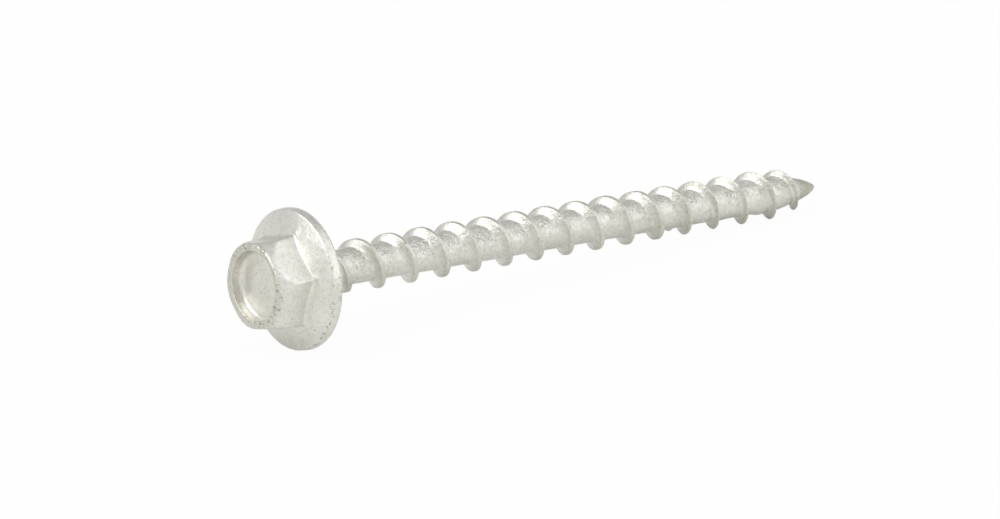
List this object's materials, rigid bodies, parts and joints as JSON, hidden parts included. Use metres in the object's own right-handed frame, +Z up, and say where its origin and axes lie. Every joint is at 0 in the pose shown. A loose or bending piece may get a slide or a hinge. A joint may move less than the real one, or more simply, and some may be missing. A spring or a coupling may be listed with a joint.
{
  "type": "lag screw",
  "caption": "Hex washer head lag screw: forged hex with a dished end and washer in one with the shank, a coarse thread up to the head and a cut point, galvanised.",
  "frame": {"origin": "middle of the lying screw's footprint, on the floor", "axes": "+X runs along the screw towards its tip, which dips about 4 degrees, +Z is up, and the screw lies on the washer's rim and on a thread crest near the tip"},
  "size_m": [0.0826, 0.0154, 0.0155],
  "materials": {
    "galvanised_steel": "satin, hot-dip zinc"
  },
  "bodies": {
    "root": {"lag_screw": "galvanised_steel"}
  },
  "joints": []
}
